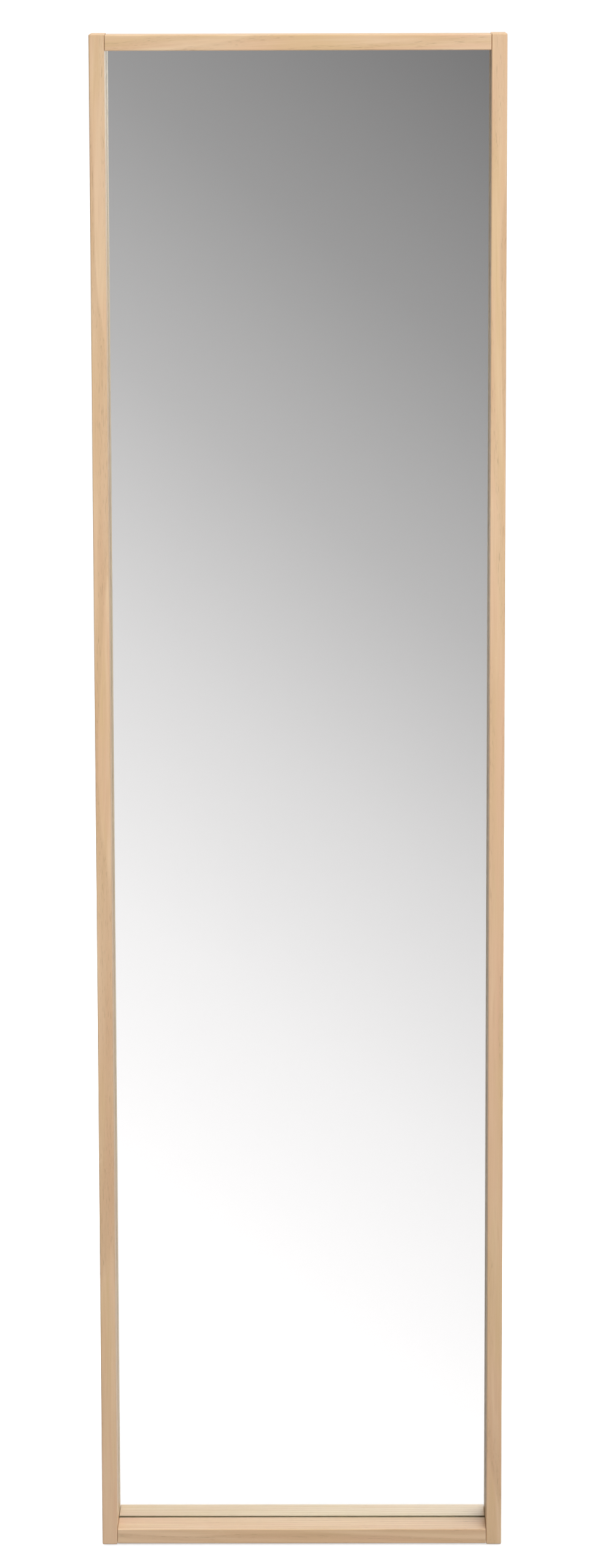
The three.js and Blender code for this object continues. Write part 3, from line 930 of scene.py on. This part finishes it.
# What a glossy surface sees round the studio: brightness against height over distance.
BACKDROP = [(-0.203, 1.0), (-0.15, 0.87), (-0.096, 0.687), (-0.043, 0.479), (0.0106, 0.319),
            (0.071, 0.188), (0.12, 0.17), (0.28, 0.70), (0.50, 2.10)]
BACKDROP_FROM = -0.25
MIRROR_TINT = (0.827, 0.91, 0.896)      # what the glass and silver give back
LEFT_WALL = (0.12, 0.4)         # brightness beside the backdrop, and further round
RIGHT_WALL = 2.2
WINDOW = 12.0                   # in the right wall
REAR = (0.3, 1.1)               # behind the mirror: low down and high up
FILL = (0.06, 0.35)             # soft light from below and from above

# Name, place, aim, width, height and power of each lamp.
LAMPS = [
    ("side_softbox", (0.85, -1.3, 1.35), (0, 0, 1.2), 0.6, 0.7, 7),
    ("left_softbox", (-0.75, -1.2, 1.0), (-0.1, 0, 0.95), 0.5, 0.5, 3.2),
    ("overhead_softbox", (0.3, -0.5, 4.5), (0, 0, 0), 1.6, 1.6, 46),
    ("back_softbox", (-1.2, 2.4, 2.0), (0, 0.1, 0.8), 1.2, 1.4, 45),
]


def make_floor():
    material, _, _ = new_finish("pale_floor", Base_Color=(0.9, 0.9, 0.895, 1), Roughness=0.8,
                                         Emission_Color=(1, 1, 1, 1), Emission_Strength=0.55)
    bm = bmesh.new()
    bmesh.ops.create_circle(bm, cap_ends=True, segments=96, radius=30)
    floor = made("floor", bm, material)
    floor.visible_glossy = False
    floor.visible_transmission = False
    floor.visible_diffuse = False


def grey(level):
    return (level, level, level)


def make_world():
    """A white studio. Its backdrop, in front of the mirror, darkens upwards.

    The wall on its left is dim, and the one on its right is bright and has a window.
    """
    world = bpy.data.worlds.new("studio")
    world.use_nodes = True
    nodes = world.node_tree.nodes
    way = Wire(nodes.new("ShaderNodeTexCoord").outputs["Generated"])
    x, y, z = way.parts()
    ahead = (0 - y).most(0.3)
    side = x / ahead
    shade = z / ahead + side.most(-0.1).least(0.1) * 0.8 - BACKDROP_FROM
    stops = [(slope - BACKDROP_FROM, tuple(bright / t for t in MIRROR_TINT))
             for slope, bright in BACKDROP]
    backdrop = shade.node("ShaderNodeValToRGB", {0: shade}, stops=stops)
    dim = side.rise(-0.75, -0.4).mix(grey(LEFT_WALL[1]), grey(LEFT_WALL[0]))
    backdrop = (0 - side).rise(0.08, 0.4).mix(backdrop, dim)
    glow = side.rise(0.07, 0.4) * z.rise(-0.06, 0.2)
    backdrop = glow.mix(backdrop, grey(RIGHT_WALL))
    window = side.rise(0.06, 0.12) * side.rise(0.35, 0.2) * z.rise(0.0, 0.15) * z.rise(0.55, 0.4)
    backdrop = window.mix(backdrop, grey(WINDOW))
    behind = z.rise(-0.4, 0.9).mix(*map(grey, REAR))
    backdrop = y.rise(0.0, 0.4).mix(backdrop, behind)
    path = nodes.new("ShaderNodeLightPath")
    seen = Wire(path.outputs["Is Camera Ray"])
    soft = Wire(path.outputs["Is Diffuse Ray"])
    fill = z.rise(-0.3, 0.3).mix(*map(grey, FILL))
    colour = seen.mix(soft.mix(backdrop, fill), grey(1.0))
    world.node_tree.links.new(colour.socket, nodes["Background"].inputs["Color"])
    SCENE.world = world


def make_lamp(name, at, aim, wide, high, power):
    data = bpy.data.lights.new(name, "AREA")
    data.shape = "RECTANGLE"
    data.size = wide
    data.size_y = high
    data.energy = power
    lamp = bpy.data.objects.new(name, data)
    SCENE.collection.objects.link(lamp)
    lamp.location = at
    lamp.rotation_euler = (Vector(aim) - Vector(at)).to_track_quat("-Z", "Y").to_euler()
    lamp.visible_camera = False
    lamp.visible_glossy = False


make_mirror()
make_strut()
make_hardware()
make_floor()
make_world()
for lamp in LAMPS:
    make_lamp(*lamp)
SCENE.view_settings.view_transform = "Standard"
